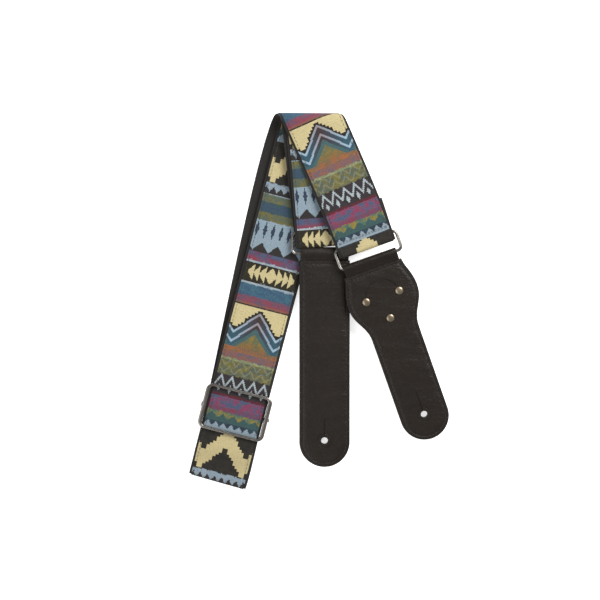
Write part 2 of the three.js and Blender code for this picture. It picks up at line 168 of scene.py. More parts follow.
class Paint:
    """A material's node tree, with short calls for the nodes it is made of."""

    def __init__(self, name):
        self.material = bpy.data.materials.new(name)
        self.material.use_nodes = True
        self.tree = self.material.node_tree
        self.shader = self.tree.nodes["Principled BSDF"]

    def _feed(self, socket, value):
        if isinstance(value, bpy.types.NodeSocket):
            self.tree.links.new(value, socket)
        elif value is not None:
            socket.default_value = value

    def math(self, operation, *values):
        node = self.tree.nodes.new("ShaderNodeMath")
        node.operation = operation
        for socket, value in zip(node.inputs, values):
            self._feed(socket, value)
        return node.outputs[0]

    def mix(self, factor, low, high):
        node = self.tree.nodes.new("ShaderNodeMix")
        node.data_type = "RGBA"
        for index, value in ((0, factor), (6, low), (7, high)):
            self._feed(node.inputs[index], value)
        return node.outputs[2]

    def noise(self, vector, scale, detail=2.0, stretch=(1, 1, 1)):
        mapping = self.tree.nodes.new("ShaderNodeMapping")
        mapping.inputs["Scale"].default_value = stretch
        self._feed(mapping.inputs["Vector"], vector)
        node = self.tree.nodes.new("ShaderNodeTexNoise")
        node.inputs["Scale"].default_value = scale
        node.inputs["Detail"].default_value = detail
        self._feed(node.inputs["Vector"], mapping.outputs[0])
        return node.outputs[0]

    def cells(self, vector, scale):
        node = self.tree.nodes.new("ShaderNodeTexVoronoi")
        node.inputs["Scale"].default_value = scale
        self._feed(node.inputs["Vector"], vector)
        return node.outputs["Distance"]

    def ramp(self, factor, stops, blend="LINEAR"):
        node = self.tree.nodes.new("ShaderNodeValToRGB")
        node.color_ramp.interpolation = blend
        elements = node.color_ramp.elements
        elements[0].position, elements[0].color = stops[0]
        elements[1].position, elements[1].color = stops[-1]
        for position, color in stops[1:-1]:
            elements.new(position).color = color
        self._feed(node.inputs[0], factor)
        return node.outputs[0]

    def place(self, output):
        node = self.tree.nodes.new("ShaderNodeTexCoord")
        return node.outputs[output]

    def split(self, vector):
        node = self.tree.nodes.new("ShaderNodeSeparateXYZ")
        self._feed(node.inputs[0], vector)
        return node.outputs[0], node.outputs[1], node.outputs[2]

    def join(self, x, y, z=0.0):
        node = self.tree.nodes.new("ShaderNodeCombineXYZ")
        for socket, value in zip(node.inputs, (x, y, z)):
            self._feed(socket, value)
        return node.outputs[0]

    def bump(self, height, depth, strength=1.0):
        node = self.tree.nodes.new("ShaderNodeBump")
        node.inputs["Strength"].default_value = strength
        node.inputs["Distance"].default_value = depth
        self._feed(node.inputs["Height"], height)
        return node.outputs[0]

    def surface(self, color=None, roughness=None, metallic=None, normal=None, sheen=None):
        self._feed(self.shader.inputs["Base Color"], color)
        self._feed(self.shader.inputs["Roughness"], roughness)
        self._feed(self.shader.inputs["Metallic"], metallic)
        self._feed(self.shader.inputs["Normal"], normal)
        self._feed(self.shader.inputs["Sheen Weight"], sheen)
        return self.material


def weave_height(paint, across, along, across_pitch, along_pitch):
    """Plain weave: threads that go over and under each other, in millimetres of UV."""
    warp = paint.math("SINE", paint.math("MULTIPLY", across, 2 * math.pi / across_pitch))
    weft = paint.math("SINE", paint.math("MULTIPLY", along, 2 * math.pi / along_pitch))
    crossing = paint.math("MULTIPLY", warp, weft)
    return paint.math("ABSOLUTE", crossing)


def webbing_material():
    paint = Paint("black_webbing")
    across, along, _ = paint.split(paint.place("UV"))
    height = weave_height(paint, across, along, 2.2, 1.5)
    fuzz = paint.noise(paint.join(across, along), 1.4, 3.0)
    color = paint.mix(fuzz, srgb(14, 13, 13), srgb(40, 38, 36))
    # painted highlight: the raised thread crossings are coloured lighter by their weave height, standing in for
    # light on the weave
    color = paint.mix(paint.math("MULTIPLY", height, 0.4), color, srgb(52, 49, 46))
    paint.shader.inputs["Specular IOR Level"].default_value = 0.25
    normal = paint.bump(paint.math("ADD", height, paint.math("MULTIPLY", fuzz, 0.5)), 0.0003, 0.7)
    return paint.surface(color=color, roughness=0.92, normal=normal, sheen=0.08)


def thread_material():
    paint = Paint("dark_thread")
    twist = paint.noise(paint.place("Object"), 2600.0, 2.0, (1, 1, 1))
    color = paint.mix(twist, srgb(15, 14, 13), srgb(38, 35, 32))
    return paint.surface(color=color, roughness=0.7, normal=paint.bump(twist, 0.0001), sheen=0.2)


# Yarn colours of the jacquard.
BLACK = (40, 38, 35)
DARK = (48, 45, 44)
CREAM = (190, 176, 132)
PALE = (134, 149, 159)
GREY_BLUE = (128, 144, 156)
WHITE_YARN = (156, 166, 170)

# Stripes of the jacquard, from the top of one repeat downwards: where each starts, in millimetres,
# and the two yarn colours that its ground mixes.
STRIPES = [
    (0.0, (128, 110, 58), (94, 98, 72)),
    (30.0, (134, 98, 56), (106, 98, 66)),
    (35.0, (148, 92, 58), (112, 92, 70)),
    (39.5, (100, 88, 96), (128, 86, 74)),
    (45.0, (136, 142, 104), (116, 122, 92)),
    (47.0, (112, 104, 54), (82, 90, 80)),
    (60.0, DARK, (54, 48, 52)),
    (77.0, (96, 40, 48), (78, 38, 46)),
    (79.0, (134, 56, 82), (70, 84, 108)),
    (87.5, (126, 54, 72), (92, 72, 92)),
    (91.0, (134, 118, 52), (70, 100, 90)),
    (99.0, (48, 68, 78), (44, 52, 64)),
    (108.0, BLACK, (48, 45, 40)),
    (143.5, GREY_BLUE, (138, 150, 160)),
    (153.0, (104, 100, 62), (82, 94, 84)),
    (160.0, (56, 78, 80), (58, 74, 92)),
    (168.0, (102, 98, 62), (82, 92, 80)),
    (175.0, PALE, (132, 150, 162)),
    (203.0, (98, 62, 84), (72, 86, 110)),
    (206.5, (128, 58, 72), (88, 80, 104)),
    (210.0, WHITE_YARN, PALE),
    (212.5, (48, 45, 32), (42, 39, 32)),
    (229.0, WHITE_YARN, PALE),
    (231.0, (64, 98, 114), (58, 82, 104)),
    (241.0, (130, 62, 76), (96, 74, 90)),
    (246.5, (128, 80, 66), (104, 80, 76)),
    (249.0, DARK, BLACK),
]


class Jacquard(Paint):
    """The patterned ribbon: stripes with stepped motifs, drawn from the ribbon's own UV map."""

    def __init__(self, name):
        super().__init__(name)
        across, along, _ = self.split(self.place("UV"))
        self.true_across = across
        self.true_along = along
        folded = self.math("FLOORED_MODULO", along, PATTERN_REPEAT)
        self.across = self.stepped(across, 0.8)
        self.along = self.stepped(folded, 0.8)
        self.yarns = self.join(self.across, self.stepped(along, 0.8))
        self.wide_across = self.stepped(across, 2.3)
        self.wide_along = self.stepped(folded, 2.1)

    def stepped(self, value, step):
        """The middle of the yarn that a place lies on."""
        return self.math("ADD", self.math("SNAP", value, step), step / 2)

    def peaks(self, pitch, offset=0.0, wide=False):
        """A zigzag across the ribbon: 0 at each peak's middle, half the pitch between peaks."""
        across = self.wide_across if wide else self.across
        saw = self.math("FLOORED_MODULO", self.math("ADD", across, offset + pitch / 2), pitch)
        return self.math("ABSOLUTE", self.math("SUBTRACT", saw, pitch / 2))

    def between(self, value, low, high):
        above = self.math("GREATER_THAN", value, low)
        return self.math("MULTIPLY", above, self.math("LESS_THAN", value, high))

    def both(self, first, second):
        return self.math("MULTIPLY", first, second)

    def slanted(self, zigzag, slope, wide=False):
        """How far down the ribbon a point lies below a line that falls away from each peak."""
        return self.math("SUBTRACT", self.wide_along if wide else self.along,
                         self.math("MULTIPLY", zigzag, slope))

    def lozenge(self, zigzag, slope, middle):
        """How far a point lies from a lozenge's middle, with the same value all round its edge."""
        away = self.math("ABSOLUTE", self.math("SUBTRACT", self.along, middle))
        return self.math("ADD", self.math("MULTIPLY", zigzag, slope), away)

    def stripes(self):
        blotch = self.noise(self.yarns, 0.14, 2.0, (1.0, 1.3, 1.0))
        speckle = self.noise(self.yarns, 0.62, 2.0)
        share = self.math("ADD", self.math("MULTIPLY", blotch, 0.6), self.math("MULTIPLY", speckle, 0.4))
        share = self.ramp(share, [(0.42, (0, 0, 0, 1)), (0.56, (1, 1, 1, 1))])
        wobble = self.math("MULTIPLY", self.math("SUBTRACT", self.noise(self.yarns, 0.4), 0.5), 2.2)
        place = self.math("DIVIDE", self.math("ADD", self.along, wobble), PATTERN_REPEAT)
        first = self.ramp(place, [(at / PATTERN_REPEAT, srgb(*a)) for at, a, _ in STRIPES], "CONSTANT")
        second = self.ramp(place, [(at / PATTERN_REPEAT, srgb(*b)) for at, _, b in STRIPES], "CONSTANT")
        return self.mix(share, first, second)

    def big_chevron(self, color):
        """Cream corner triangles with a toothed dark edge over nested chevrons, above the ochre mound."""
        zigzag = self.peaks(36.8)
        depth = self.slanted(zigzag, 1.06)
        outward = self.math("DIVIDE", zigzag, 18.0)
        dark = self.mix(outward, srgb(62, 48, 50), srgb(54, 84, 98))
        pale = self.mix(outward, srgb(134, 126, 130), srgb(146, 170, 186))
        region = self.between(self.along, 0.0, 36.0)
        for low, high, tint in (
            (-60.0, 3.4, srgb(*BLACK)), (3.4, 5.9, pale), (5.9, 11.2, dark), (11.2, 13.7, pale),
            (13.7, 17.4, dark), (17.4, 21.6, srgb(66, 92, 94)),
        ):
            color = self.mix(self.both(region, self.between(depth, low, high)), color, tint)
        toothed = self.slanted(self.peaks(36.8, wide=True), 1.06, wide=True)
        corner = self.both(region, self.math("LESS_THAN", toothed, 0.4))
        return self.mix(corner, color, srgb(*CREAM))

    def small_mosaic(self, color):
        """Small triangles in the olive stripe."""
        depth = self.slanted(self.peaks(9.2), -1.3)
        rows = self.math("FLOORED_MODULO", depth, 6.5)
        region = self.between(self.along, 48.0, 59.0)
        share = self.math("MULTIPLY", self.both(region, self.between(rows, 0.0, 1.9)), 0.45)
        return self.mix(share, color, srgb(134, 136, 112))

    def white_zigzag(self, color):
        zigzag = self.peaks(9.3)
        depth = self.slanted(zigzag, 1.95)
        region = self.between(self.along, 60.0, 76.5)
        color = self.mix(self.both(region, self.between(depth, 60.6, 63.8)), color, srgb(*WHITE_YARN))
        inside = self.math("LESS_THAN", self.lozenge(zigzag, 2.2, 72.4), 3.6)
        return self.mix(inside, color, srgb(*WHITE_YARN))

    def saw_teeth(self, color):
        """Teal scallops, then a pale band whose upper edge is a row of teeth."""
        depth = self.slanted(self.peaks(9.3, 4.6), -0.9)
        low = self.both(self.between(self.along, 93.0, 100.8), self.math("GREATER_THAN", depth, 97.8))
        color = self.mix(low, color, srgb(58, 82, 82))
        teeth = self.math("GREATER_THAN", self.slanted(self.peaks(6.7), 1.25), 101.2)
        return self.mix(self.both(self.between(self.along, 100.6, 108.0), teeth), color, srgb(*PALE))

    def big_zigzag(self, color):
        """The broad cream zigzag on black, in wide steps."""
        depth = self.slanted(self.peaks(36.8, wide=True), 1.22, wide=True)
        region = self.between(self.along, 108.0, 143.5)
        return self.mix(self.both(region, self.between(depth, 104.5, 121.0)), color, srgb(*CREAM))

    def little_teeth(self, color):
        depth = self.slanted(self.peaks(6.3, 3.1), 1.4)
        region = self.between(self.along, 145.6, 153.0)
        return self.mix(self.both(region, self.math("GREATER_THAN", depth, 146.6)), color, srgb(*DARK))

    def spindles(self, color):
        """Dark spindles on pale blue, over a stepped lower edge."""
        inside = self.math("LESS_THAN", self.lozenge(self.peaks(7.0), 4.2, 184.0), 7.4)
        color = self.mix(inside, color, srgb(50, 60, 76))
        depth = self.slanted(self.peaks(13.8, 6.9), -1.1)
        region = self.between(self.along, 190.0, 203.0)
        return self.mix(self.both(region, self.math("GREATER_THAN", depth, 202.4)), color, srgb(*DARK))

    def arrows(self, color):
        """Sideways cream arrows that point outwards from a middle lozenge."""
        distance = self.math("ABSOLUTE", self.math("SUBTRACT", self.across, 0.8))
        tooth = self.math("FLOORED_MODULO", distance, 5.1)
        half = self.math("SUBTRACT", 7.1, self.math("MULTIPLY", tooth, 1.3))
        middle = self.math("ABSOLUTE", self.math("SUBTRACT", self.along, 220.8))
        region = self.between(self.across, -19.6, 20.6)
        return self.mix(self.both(region, self.math("LESS_THAN", middle, half)), color, srgb(*CREAM))

    def finish(self):
        color = self.stripes()
        for motif in (self.big_chevron, self.small_mosaic, self.white_zigzag, self.saw_teeth, self.big_zigzag,
                      self.little_teeth, self.spindles, self.arrows):
            color = motif(color)
        yarn = self.noise(self.yarns, 1.1, 2.0)
        rib = weave_height(self, self.true_across, self.true_along, 1.6, 1.6)
        # colour scale: random yarn tone, plus a painted highlight that lightens the raised rib crossings
        shade = self.math("ADD", 0.36, self.math("MULTIPLY", yarn, 0.66))
        # painted highlight: the rib's raised crossings are coloured lighter by their weave height
        shade = self.math("ADD", shade, self.math("MULTIPLY", rib, 0.22))
        dimmed = self.tree.nodes.new("ShaderNodeVectorMath")
        dimmed.operation = "SCALE"
        self._feed(dimmed.inputs[0], color)
        self._feed(dimmed.inputs["Scale"], shade)
        height = self.math("ADD", rib, self.math("MULTIPLY", yarn, 0.8))
        self.shader.inputs["Specular IOR Level"].default_value = 0.2
        return self.surface(color=dimmed.outputs[0], roughness=0.9, normal=self.bump(height, 0.00025, 0.6))


def leather_material(name, low, high, shine):
    paint = Paint(name)
    place = paint.place("Object")
    pebble = paint.cells(place, 820.0)
    crease = paint.noise(place, 210.0, 6.0)
    cloud = paint.noise(place, 24.0, 4.0)
    pulled = paint.noise(place, 60.0, 3.0, (0.4, 1.6, 1.0))
    color = paint.mix(cloud, srgb(*low), srgb(*high))
    color = paint.mix(paint.math("MULTIPLY", pebble, 0.3), color, srgb(44, 35, 27))
    height = paint.math("ADD", paint.math("MULTIPLY", pebble, 0.7), crease)
    height = paint.math("ADD", height, paint.math("MULTIPLY", pulled, 3.5))
    roughness = paint.math("ADD", shine, paint.math("MULTIPLY", crease, 0.22))
    paint.shader.inputs["Specular IOR Level"].default_value = 0.2
    return paint.surface(color=color, roughness=roughness, normal=paint.bump(height, 0.0005, 0.6))


def core_material():
    paint = Paint("filler_edge")
    fibre = paint.noise(paint.place("Object"), 900.0, 4.0, (1, 1, 4))
    color = paint.mix(fibre, srgb(30, 26, 23), srgb(58, 50, 43))
    return paint.surface(color=color, roughness=0.85, normal=paint.bump(fibre, 0.0002))


def metal_material(name, low, high, roughness):
    paint = Paint(name)
    place = paint.place("Object")
    brushed = paint.noise(place, 420.0, 4.0, (1.0, 0.2, 1.0))
    worn = paint.noise(place, 60.0, 3.0)
    color = paint.mix(worn, srgb(*low), srgb(*high))
    rough = paint.math("ADD", roughness, paint.math("MULTIPLY", brushed, 0.16))
    return paint.surface(color=color, roughness=rough, metallic=1.0, normal=paint.bump(brushed, 0.00004, 0.5))


# ---- the webbing's route, as in the CAD model -----------------------------------------------------
def upwards(angle):
    return np.array([-math.sin(math.radians(angle)), math.cos(math.radians(angle))])


def downwards(angle):
    return np.array([-math.sin(math.radians(angle)), -math.cos(math.radians(angle))])


FOLDS = {
    "ring_b": {"at": (41.53, 46.37), "out": downwards(-19.6), "levels": (14.5, 19.6)},
    "outer_crest": {"at": (-2.3, 151.4), "out": upwards(-0.5), "levels": (16.0, 0.8)},
    "bottom": {"at": (-84.3, -150.45), "out": downwards(15.87), "levels": (0.8, 7.2)},
    "inner_crest": {"at": (-6.96, 149.9), "out": upwards(-4.0), "levels": (5.2, 11.6)},
    "ring_a": {"at": (6.3, 49.4), "out": downwards(-5.4), "levels": (7.5, 12.6)},
    "middle_crest": {"at": (-2.4, 149.9), "out": upwards(-3.85), "levels": (13.8, 3.0)},
}
RUNS = [
    {"start": (30.31, 79.52), "heading": downwards(-18.7), "fold": "ring_b", "face": -1,
     "heights": [(0, 17.6), (6, 17.6), (-10, 14.5)]},
    {"end_heading": upwards(23.8), "fold": "outer_crest", "face": 1, "reach": 38,
     "heights": [(12, 19.6), (-20, 16)]},
    {"end_heading": downwards(17.3), "fold": "bottom", "face": -1, "reach": 45, "heights": [(0, 0.8)]},
    {"end_heading": upwards(-14.44), "fold": "inner_crest", "face": 1, "reach": 60,
     "heights": [(8, 7.2), (27, 11.9), (122, 11.9), (162, 5.2)]},
    {"end_heading": downwards(-6.8), "fold": "ring_a", "face": -1, "reach": 33,
     "heights": [(16, 11.6), (-14, 7.5)]},
    {"end_heading": upwards(6.8), "fold": "middle_crest", "face": 1, "reach": 33,
     "heights": [(14, 12.6), (-16, 13.8)]},
    {"end": (-69.87, -94.4), "end_heading": downwards(14.44), "face": -1, "reach": 60,
     "heights": [(16, 3), (80, 2.8)]},
]


def smoothstep(value, low, high):
    t = min(1.0, max(0.0, (value - low) / (high - low)))
    return t * t * (3 - 2 * t)


class Run:
    """One flat run of the webbing between two folds, on a gently bent line."""

    def __init__(self, plan, start, heading, travelled):
        self.fold = FOLDS[plan["fold"]] if "fold" in plan else None
        self.start = start
        self.heading = heading
        self.end = np.array(self.fold["at"] if self.fold else plan["end"], float)
        self.end_heading = plan.get("end_heading", heading)
        self.face = plan["face"]
        self.begins = travelled
        reach = plan.get("reach", np.linalg.norm(self.end - start) / 3)
        self.hull = [start, start + heading * reach, self.end - self.end_heading * reach, self.end]
        self.places = np.linspace(0, 1, 401)
        points = np.array([self.on_curve(t) for t in self.places])
        steps = np.linalg.norm(np.diff(points, axis=0), axis=1)
        self.reached = np.concatenate([[0], np.cumsum(steps)])
        self.length = float(self.reached[-1])
        self.knots = [(at if at >= 0 else self.length + at, z) for at, z in plan["heights"]]
        self.wrap = 0.0
        if self.fold:
            before, after = self.fold["levels"]
            self.radius = abs(before - after) / 2
            self.axis_z = (before + after) / 2
            self.over = 1 if before > after else -1
            self.wrap = math.pi * self.radius / float(self.end_heading @ self.fold["out"])

    def on_curve(self, t):
        a, b, c, d = self.hull
        return a * (1 - t) ** 3 + 3 * b * t * (1 - t) ** 2 + 3 * c * t * t * (1 - t) + d * t ** 3

    def along_curve(self, t):
        a, b, c, d = self.hull
        direction = (b - a) * (1 - t) ** 2 + 2 * (c - b) * t * (1 - t) + (d - c) * t * t
        return direction / np.linalg.norm(direction)

    def height(self, distance):
        if distance <= self.knots[0][0]:
            return self.knots[0][1]
        for (from_, low), (to, high) in zip(self.knots, self.knots[1:]):
            if distance <= to:
                return low + (high - low) * smoothstep(distance, from_, to)
        return self.knots[-1][1]

    def slant(self):
        cosine = float(self.end_heading @ self.fold["out"])
        return math.sqrt(max(0.0, 1 - cosine * cosine)) / cosine

    def next_start(self):
        out = self.fold["out"]
        start = self.end + self.end_heading * self.wrap - out * math.pi * self.radius
        heading = self.end_heading - out * 2 * float(self.end_heading @ out)
        return start, heading


def make_runs():
    runs = []
    start = np.array(RUNS[0]["start"], float)
    heading = RUNS[0]["heading"]
    travelled = 0.0
    for plan in RUNS:
        run = Run(plan, start, heading, travelled)
        runs.append(run)
        travelled += run.length + run.wrap
        if run.fold:
            start, heading = run.next_start()
    return runs


ROUTE = make_runs()
ROUTE_END = ROUTE[-1].begins + ROUTE[-1].length


def wrap_round(point, height, run, over):
    """Carries a point round the fold at the run's end if it has passed it."""
    out = run.fold["out"]
    past = float((point - run.end) @ out)
    if past <= 0:
        return np.array([*point, height])
    if past >= math.pi * run.radius:
        point = point + out * (math.pi * run.radius - 2 * past)
        return np.array([*point, run.axis_z - over * run.radius])
    point = point + out * (run.radius * math.sin(past / run.radius) - past)
    return np.array([*point, run.axis_z + over * run.radius * math.cos(past / run.radius)])


def webbing_point(along, across):
    index = next((i for i, run in enumerate(ROUTE) if run.begins + run.length + run.wrap / 2 >= along),
                 len(ROUTE) - 1)
    run = ROUTE[index]
    distance = along - run.begins
    if distance < 0:
        heading = run.heading
        centre = run.start + heading * distance
    elif distance > run.length:
        heading = run.end_heading
        centre = run.end + heading * (distance - run.length)
    else:
        t = float(np.interp(distance, run.reached, run.places))
        heading = run.along_curve(t)
        centre = run.on_curve(t)
    flat = centre + np.array([heading[1], -heading[0]]) * run.face * across
    height = run.height(distance)
    if index > 0:
        before = ROUTE[index - 1]
        if float((flat - before.end) @ before.fold["out"]) > 0:
            return wrap_round(flat, height, before, -before.over)
    if not run.fold:
        return np.array([*flat, height])
    return wrap_round(flat, height, run, run.over)


def webbing_frame(along, across):
    """The middle of the webbing there, and its pattern side's normal, its line along and its line across."""
    nudge = 0.05
    middle = webbing_point(along, across)
    tangent = webbing_point(along + nudge, across) - webbing_point(along - nudge, across)
    side = webbing_point(along, across + nudge) - webbing_point(along, across - nudge)
    tangent /= np.linalg.norm(tangent)
    side /= np.linalg.norm(side)
    normal = np.cross(side, tangent)
    return middle, normal / np.linalg.norm(normal), tangent, side


# Where the pattern's repeat starts, as distances along the route: on the runs that show from above.
PATTERN_ON_R = ROUTE[1].begins + ROUTE[1].length + 1.0
PATTERN_ON_L = ROUTE[3].begins + 147.9
PATTERN_ON_M = ROUTE[5].begins + 12.0 + 212.5


def pattern_place(along):
    """How far down the pattern a place on the webbing is. The hidden runs take up the slack."""
    on_l = PATTERN_ON_L - 2 * PATTERN_REPEAT
    on_m = PATTERN_ON_M - round((PATTERN_ON_M - on_l) / PATTERN_REPEAT) * PATTERN_REPEAT
    back = ROUTE[2]
    under = ROUTE[4]
    share = smoothstep(along, back.begins, back.begins + back.length)
    start = PATTERN_ON_R + (on_l - PATTERN_ON_R) * share
    share = smoothstep(along, under.begins, under.begins + under.length)
    start += (on_m - on_l) * share
    return start - along + 4 * PATTERN_REPEAT


def webbing_rows(flat_step, fold_step):
    rows = []
    for i, run in enumerate(ROUTE):
        lead = WEBBING_WIDTH / 2 * ROUTE[i - 1].slant() if i else 0.0
        tail = WEBBING_WIDTH / 2 * run.slant() if run.fold else 0.0
        first = run.begins + lead
        last = run.begins + run.length - tail
        rows.extend(np.linspace(first, last, max(2, round((last - first) / flat_step)) + 1))
        if run.fold:
            spread = run.wrap + 2 * tail
            count = max(14, round(spread / fold_step))
            rows.extend(last + spread * np.arange(1, count) / count)
    return rows


# ---- small modelling helpers ----------------------------------------------------------------------
def deselect():
    if bpy.context.object and bpy.context.object.mode != "OBJECT":
        bpy.ops.object.mode_set(mode="OBJECT")
    bpy.ops.object.select_all(action="DESELECT")


def active(obj):
    deselect()
    obj.select_set(True)
    bpy.context.view_layer.objects.active = obj


def apply_modifier(obj, kind, **settings):
    active(obj)
    modifier = obj.modifiers.new(kind.lower(), kind)
    for key, value in settings.items():
        setattr(modifier, key, value)
    bpy.ops.object.modifier_apply(modifier=modifier.name)


def smooth(obj, angle=40.0):
    active(obj)
    bpy.ops.object.shade_smooth_by_angle(angle=math.radians(angle))


def settle(obj, name, body, material, nodes, matrix=None):
    """Puts a finished piece in its place, with its material, its body and the CAD nodes it stands for."""
    if matrix is not None:
        obj.data.transform(matrix)
    obj.data.update()
    obj.name = name
    obj.data.name = name
    obj.data.materials.clear()
    obj.data.materials.append(material)
    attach(obj, body)
    if nodes:
        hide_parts(*nodes)
    return obj


def move_points(obj, places):
    """Moves every vertex, given in metres."""
    obj.data.vertices.foreach_set("co", np.asarray(places, float).ravel())
    obj.data.update()


def points_of(obj):
    places = np.empty(len(obj.data.vertices) * 3)
    obj.data.vertices.foreach_get("co", places)
    return places.reshape(-1, 3)


def group_matrix(bar, turn, tilt):
    shifted = [(b + s) * MM for b, s in zip(bar, ORIGIN_SHIFT)]
    return (Matrix.Translation(shifted) @ Matrix.Rotation(math.radians(turn), 4, "Z")
            @ Matrix.Rotation(math.radians(tilt), 4, "X") @ Matrix.Scale(MM, 4))


RING_A_FRAME = group_matrix(RING_A_BAR, 0, 0)
TAB_A_FRAME = group_matrix(RING_A_BAR, 0, TAB_A_TILT)
RING_B_FRAME = group_matrix(RING_B_BAR, TAB_B_TURN, 0)
TAB_B_FRAME = group_matrix(RING_B_BAR, TAB_B_TURN, TAB_B_TILT)
SLIDER_FRAME = group_matrix((*SLIDER_CENTRE, 0), SLIDER_TURN, 0)


def new_grid(columns, rows):
    deselect()
    bpy.ops.mesh.primitive_grid_add(x_subdivisions=columns, y_subdivisions=rows, size=1.0)
    return bpy.context.object


# ---- webbing and ribbon ---------------------------------------------------------------------------
def ribbon_strip(width, faces, rows):
    """A strip along the whole route, from a grid, with its UV map in millimetres of flat cloth."""
    strip = new_grid(STRIP_COLUMNS, len(rows) - 1)
    flat = points_of(strip)
    along = np.array([rows[int(round((y + 0.5) * (len(rows) - 1)))] for y in flat[:, 1]])
    across = flat[:, 0] * width
    middle = sum(faces) / 2
    places = []
    for s, u in zip(along, across):
        point, normal, _, _ = webbing_frame(s, u)
        wave = RIPPLE * math.sin(s / 23.0 + 1.7 * math.sin(s / 61.0)) * abs(u / 25.0) ** 2
        places.append((point + normal * (middle + wave) + ORIGIN_SHIFT) * MM)
    move_points(strip, places)
    corners = np.empty(len(strip.data.loops), int)
    strip.data.loops.foreach_get("vertex_index", corners)
    pattern = np.array([pattern_place(s) for s in along])
    uv = np.column_stack([across[corners], pattern[corners]])
    strip.data.uv_layers[0].data.foreach_set("uv", uv.ravel())
    apply_modifier(strip, "SOLIDIFY", thickness=(faces[1] - faces[0]) * MM, offset=0.0)
    return strip


def make_webbing(webbing, jacquard, thread):
    rows = webbing_rows(FLAT_STEP, FOLD_STEP)
    backing = ribbon_strip(WEBBING_WIDTH, BACKING_FACES, rows)
    apply_modifier(backing, "BEVEL", width=0.28 * MM, segments=2, limit_method="ANGLE",
                   angle_limit=SHARP)
    smooth(backing)
    settle(backing, "woven_backing", "strap", webbing, ["backing_webbing"])
    ribbon = ribbon_strip(RIBBON_WIDTH, RIBBON_FACES, rows)
    apply_modifier(ribbon, "BEVEL", width=0.2 * MM, segments=2, limit_method="ANGLE",
                   angle_limit=SHARP)
    smooth(ribbon)
    settle(ribbon, "patterned_ribbon", "strap", jacquard, ["jacquard_ribbon"])
    edges = [webbing_frame(s, side * STITCH_LINE) for side in (-1, 1)
             for s in np.arange(3.0, ROUTE_END - 3, STITCH_PITCH)]
    stitches = scatter_stitches(edges, RIBBON_FACES[1] + 0.02, STITCH_LENGTH)
    settle(stitches, "edge_stitching", "strap", thread, [])
    start = ROUTE[1].begins + CROSS_STITCHES_AT
    crossing = [turned(webbing_frame(start + row, place)) for row in (0.0, 1.1)
                for place in np.linspace(-20, 20, 15)]
    stitches = scatter_stitches(crossing, RIBBON_FACES[1] + 0.04, STITCH_LENGTH)
    settle(stitches, "ring_end_stitching", "strap", thread, [])


def turned(frame_at):
    """The same place with its stitch across the webbing."""
    middle, normal, tangent, side = frame_at
    return middle, normal, side, tangent


def scatter_stitches(frames, lift, length):
    """One short thread, modelled once and laid at every place."""
    deselect()
    bpy.ops.mesh.primitive_uv_sphere_add(segments=6, ring_count=5, radius=1.0)
    stitch = bpy.context.object
    shape = points_of(stitch)
    shape = shape[:, [2, 0, 1]] * (length / 2, THREAD / 2, THREAD / 2)
    loops = [tuple(p.vertices) for p in stitch.data.polygons]
    bpy.data.objects.remove(stitch)
    places = []
    faces = []
    for middle, normal, tangent, side in frames:
        base = len(places)
        for x, y, z in shape:
            places.append((middle + tangent * x + side * y + normal * (lift + z) + ORIGIN_SHIFT) * MM)
        faces.extend(tuple(base + v for v in loop) for loop in loops)
    mesh = bpy.data.meshes.new("stitches")
    mesh.from_pydata(places, [], faces)
    obj = bpy.data.objects.new("stitches", mesh)
    bpy.context.scene.collection.objects.link(obj)
    active(obj)
    bpy.ops.object.mode_set(mode="EDIT")
    bpy.ops.mesh.select_all(action="SELECT")
    bpy.ops.mesh.normals_make_consistent(inside=False)
    bpy.ops.object.mode_set(mode="OBJECT")
    smooth(obj, 60.0)
    return obj


def bent_strip(line, width, thickness, columns):
    """A strip of even thickness whose middle follows a line in (y, z), as wide along x."""
    line = np.array(line, float)
    steps = np.concatenate([[0], np.cumsum(np.linalg.norm(np.diff(line, axis=0), axis=1))])
    strip = new_grid(columns, len(line) - 1)
    flat = points_of(strip)
    index = np.array([int(round((y + 0.5) * (len(line) - 1))) for y in flat[:, 1]])
    across = flat[:, 0] * width
    move_points(strip, np.column_stack([across, line[index]]))
    corners = np.empty(len(strip.data.loops), int)
    strip.data.loops.foreach_get("vertex_index", corners)
    uv = np.column_stack([across[corners], steps[index][corners]])
    strip.data.uv_layers[0].data.foreach_set("uv", uv.ravel())
    apply_modifier(strip, "SOLIDIFY", thickness=thickness, offset=0.0)
    apply_modifier(strip, "BEVEL", width=thickness * 0.3, segments=3, limit_method="ANGLE",
                   angle_limit=SHARP)
    smooth(strip)
    return strip


def smooth_line(points, steps):
    """A smooth line through a few points, by the Catmull-Rom rule."""
    points = [np.array(p, float) for p in points]
    padded = [2 * points[0] - points[1], *points, 2 * points[-1] - points[-2]]
    line = []
    for a, b, c, d in zip(padded, padded[1:], padded[2:], padded[3:]):
        for t in np.arange(steps) / steps:
            line.append(0.5 * (2 * b + (c - a) * t + (2 * a - 5 * b + 4 * c - d) * t * t
                               + (3 * b - a - 3 * c + d) * t ** 3))
    line.append(points[-1])
    return line


def make_sewn_end(webbing):
    """The webbing's last stretch, sewn round the slider's bar."""
    low = -LOOP_RADIUS
    bend = [(LOOP_RADIUS * math.cos(a), LOOP_RADIUS * math.sin(a))
            for a in np.linspace(-math.pi / 2, -1.5 * math.pi, 17)]
    flap = smooth_line([bend[-1], (4, LOOP_RADIUS - 0.6), (10, low + 2.3), (SEWN_FLAP, low + 1.9)], 6)
    line = [(SEWN_TAIL * share, low) for share in (1.0, 0.75, 0.5, 0.25)] + [*bend, *flap[1:]]
    strip = bent_strip(line, WEBBING_WIDTH, RIBBON_FACES[1] - BACKING_FACES[0], 12)
    lift = Matrix.Translation((0, 0, SLIDER_BAR_Z))
    settle(strip, "sewn_webbing_end", "slider", webbing, ["webbing_sewn_end"],
           SLIDER_FRAME @ lift)


